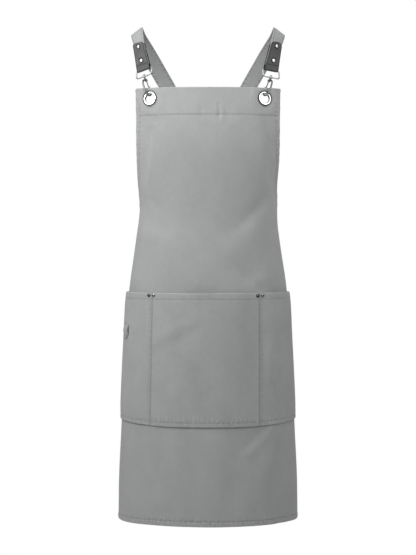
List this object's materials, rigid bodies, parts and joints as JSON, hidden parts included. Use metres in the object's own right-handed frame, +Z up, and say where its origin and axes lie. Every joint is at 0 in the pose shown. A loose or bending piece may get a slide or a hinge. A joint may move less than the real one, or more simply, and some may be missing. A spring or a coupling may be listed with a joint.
{
  "type": "cross back apron",
  "caption": "Canvas work apron with a bib, a divided front pocket and straps that cross at the back, held by leather tabs, rings, snap hooks and eyelets.",
  "frame": {"origin": "midway between the tops of the two shoulder straps, at the height where they rest on the shoulders", "axes": "+Z up as worn, -Y to the apron's front, +X to the right in the picture"},
  "size_m": [0.3634, 0.2541, 0.988],
  "materials": {
    "top_band": "matt cotton canvas",
    "bib": "matt cotton canvas",
    "skirt": "matt cotton canvas",
    "front_pocket": "matt cotton canvas",
    "side_loop": "matt cotton canvas",
    "pocket_rivet_left_outer": "polished nickel",
    "pocket_rivet_left_inner": "polished nickel",
    "pocket_rivet_right_inner": "polished nickel",
    "pocket_rivet_right_outer": "polished nickel",
    "strap_left": "matt cotton canvas",
    "leather_tab_left": "smooth, semi-matt",
    "eyelet_left": "polished nickel",
    "ring_left": "polished nickel",
    "hook_left": "polished nickel",
    "gate_left": "polished nickel",
    "strap_rivet_left_lower": "polished nickel",
    "strap_rivet_left_upper": "polished nickel",
    "strap_right": "matt cotton canvas",
    "leather_tab_right": "smooth, semi-matt",
    "eyelet_right": "polished nickel",
    "ring_right": "polished nickel",
    "hook_right": "polished nickel",
    "gate_right": "polished nickel",
    "strap_rivet_right_lower": "polished nickel",
    "strap_rivet_right_upper": "polished nickel"
  },
  "bodies": {
    "apron": {"top_band": "top_band", "bib": "bib", "skirt": "skirt", "front_pocket": "front_pocket", "side_loop": "side_loop", "pocket_rivet_left_outer": "pocket_rivet_left_outer", "pocket_rivet_left_inner": "pocket_rivet_left_inner", "pocket_rivet_right_inner": "pocket_rivet_right_inner", "pocket_rivet_right_outer": "pocket_rivet_right_outer", "strap_left": "strap_left", "leather_tab_left": "leather_tab_left", "eyelet_left": "eyelet_left", "ring_left": "ring_left", "hook_left": "hook_left", "strap_rivet_left_lower": "strap_rivet_left_lower", "strap_rivet_left_upper": "strap_rivet_left_upper", "strap_right": "strap_right", "leather_tab_right": "leather_tab_right", "eyelet_right": "eyelet_right", "ring_right": "ring_right", "hook_right": "hook_right", "strap_rivet_right_lower": "strap_rivet_right_lower", "strap_rivet_right_upper": "strap_rivet_right_upper"},
    "gate_left_body": {"gate_left": "gate_left"},
    "gate_right_body": {"gate_right": "gate_right"}
  },
  "joints": [
    {"name": "gate_left_swing", "type": "hinge", "parent": "apron", "child": "gate_left_body", "pos_m": [-0.12178, -0.06792, -0.10289], "axis": [-0.6043, 0.7051, -0.371], "range_deg": [0, 25], "stiffness_Nm_per_rad": 0.01, "springref_deg": -17.19},
    {"name": "gate_right_swing", "type": "hinge", "parent": "apron", "child": "gate_right_body", "pos_m": [0.12016, -0.06778, -0.10372], "axis": [-0.6311, -0.6497, 0.4238], "range_deg": [0, 25], "stiffness_Nm_per_rad": 0.01, "springref_deg": -17.19}
  ]
}
